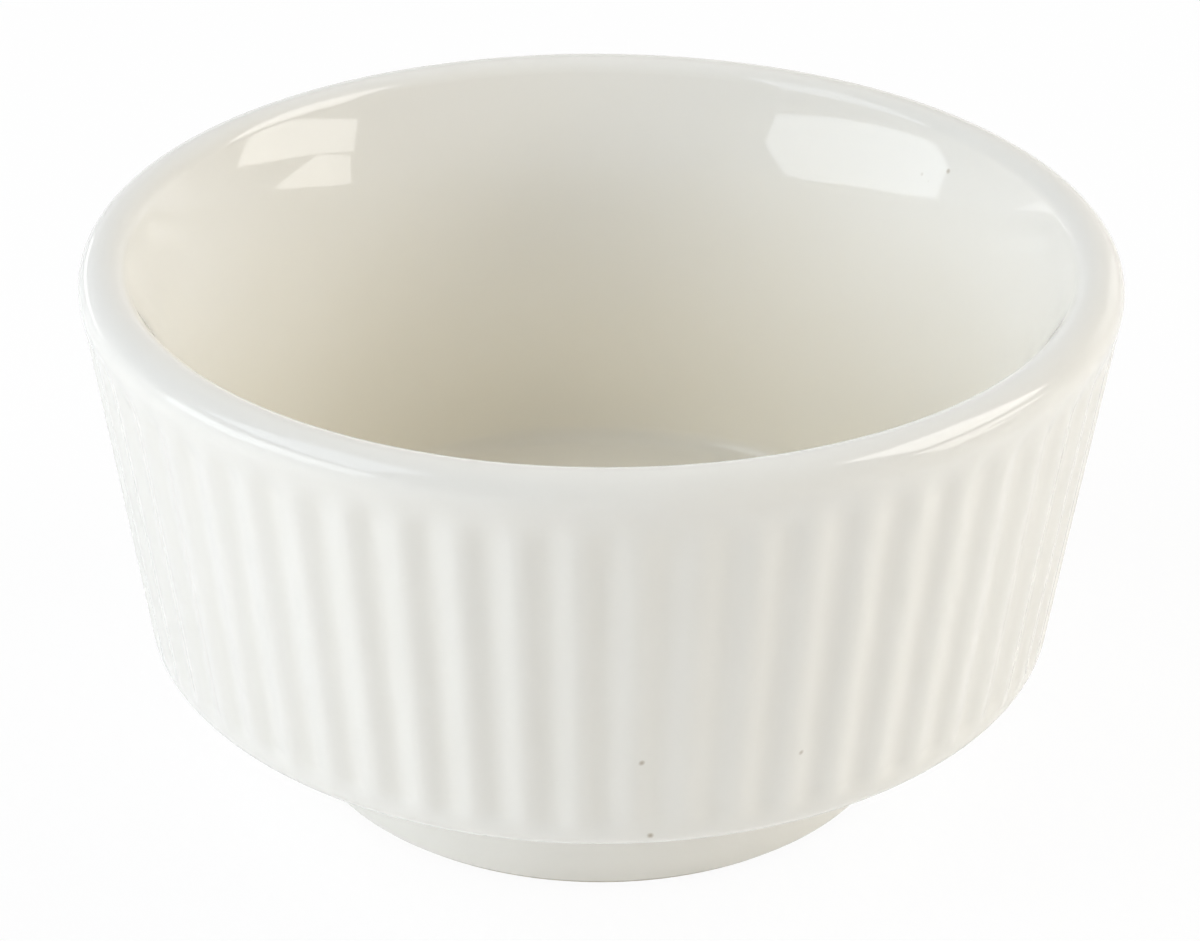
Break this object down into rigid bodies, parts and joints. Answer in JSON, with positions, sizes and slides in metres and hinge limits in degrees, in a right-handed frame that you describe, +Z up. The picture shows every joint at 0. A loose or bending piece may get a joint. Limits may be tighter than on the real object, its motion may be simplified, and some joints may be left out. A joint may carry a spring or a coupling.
{
  "type": "dip bowl",
  "caption": "Small round glazed stoneware dip bowl with a soft lip, fine upright flutes, a tucked-in shoulder and a plain foot ring, for sauces and dips.",
  "frame": {"origin": "on the bowl's axis, in the plane of the standing ring", "axes": "+Z up along the bowl's axis; the bowl is round, so X and Y are free, and -Y is the side that the picture shows"},
  "size_m": [0.07, 0.07, 0.0383],
  "materials": {
    "biscuit_clay": "matt fired clay",
    "ivory_glaze": "high gloss"
  },
  "bodies": {
    "root": {"clay_body": "biscuit_clay", "outer_glaze": "ivory_glaze", "inner_glaze": "ivory_glaze", "foot_well_glaze": "ivory_glaze"}
  },
  "joints": []
}
